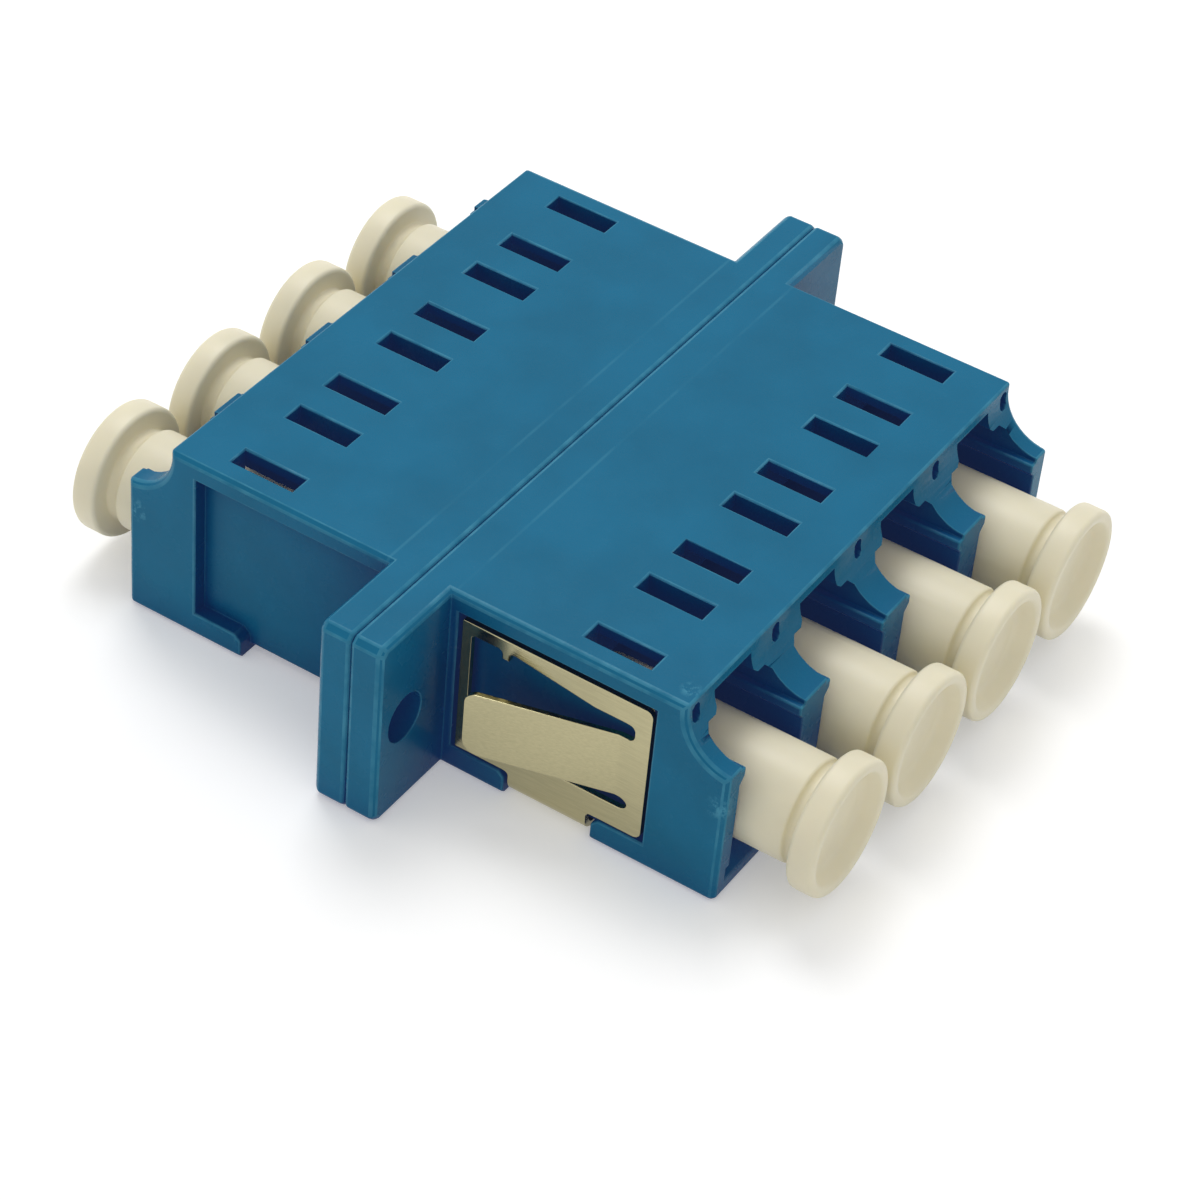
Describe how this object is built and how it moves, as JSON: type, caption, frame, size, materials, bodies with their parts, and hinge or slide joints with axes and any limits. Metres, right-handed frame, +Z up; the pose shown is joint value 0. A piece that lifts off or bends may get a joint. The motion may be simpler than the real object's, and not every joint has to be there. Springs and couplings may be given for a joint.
{
  "type": "lc fibre adapter",
  "caption": "Flanged panel adapter that joins LC fibre plugs end to end, with a row of ports on each side, a spring clip and a pull-out dust cap in every port.",
  "frame": {"origin": "middle of the underside, in the plane where the two housing halves meet", "axes": "+X along the row of ports, +Y along the fibres from the clip half towards the other half, +Z up through the windowed roof"},
  "size_m": [0.035, 0.0362, 0.0092],
  "materials": {
    "housing_blue": "fine satin moulding",
    "cap_ivory": "soft satin, slightly waxy",
    "spring_steel": "rolled sheet, plain",
    "zirconia": "polished ceramic"
  },
  "bodies": {
    "adapter": {"housing_front": "housing_blue", "housing_rear": "housing_blue", "panel_clip": "spring_steel", "sleeve_1": "zirconia", "sleeve_2": "zirconia", "sleeve_3": "zirconia", "sleeve_4": "zirconia"},
    "front_cap_1": {"front_cap_1": "cap_ivory"},
    "front_cap_2": {"front_cap_2": "cap_ivory"},
    "front_cap_3": {"front_cap_3": "cap_ivory"},
    "front_cap_4": {"front_cap_4": "cap_ivory"},
    "rear_cap_1": {"rear_cap_1": "cap_ivory"},
    "rear_cap_2": {"rear_cap_2": "cap_ivory"},
    "rear_cap_3": {"rear_cap_3": "cap_ivory"},
    "rear_cap_4": {"rear_cap_4": "cap_ivory"}
  },
  "joints": [
    {"name": "front_cap_1_pull", "type": "slide", "parent": "adapter", "child": "front_cap_1", "axis": [0, -1, 0], "range_m": [0, 0.009]},
    {"name": "front_cap_2_pull", "type": "slide", "parent": "adapter", "child": "front_cap_2", "axis": [0, -1, 0], "range_m": [0, 0.009]},
    {"name": "front_cap_3_pull", "type": "slide", "parent": "adapter", "child": "front_cap_3", "axis": [0, -1, 0], "range_m": [0, 0.009]},
    {"name": "front_cap_4_pull", "type": "slide", "parent": "adapter", "child": "front_cap_4", "axis": [0, -1, 0], "range_m": [0, 0.009]},
    {"name": "rear_cap_1_pull", "type": "slide", "parent": "adapter", "child": "rear_cap_1", "axis": [0, 1, 0], "range_m": [0, 0.009]},
    {"name": "rear_cap_2_pull", "type": "slide", "parent": "adapter", "child": "rear_cap_2", "axis": [0, 1, 0], "range_m": [0, 0.009]},
    {"name": "rear_cap_3_pull", "type": "slide", "parent": "adapter", "child": "rear_cap_3", "axis": [0, 1, 0], "range_m": [0, 0.009]},
    {"name": "rear_cap_4_pull", "type": "slide", "parent": "adapter", "child": "rear_cap_4", "axis": [0, 1, 0], "range_m": [0, 0.009]}
  ]
}
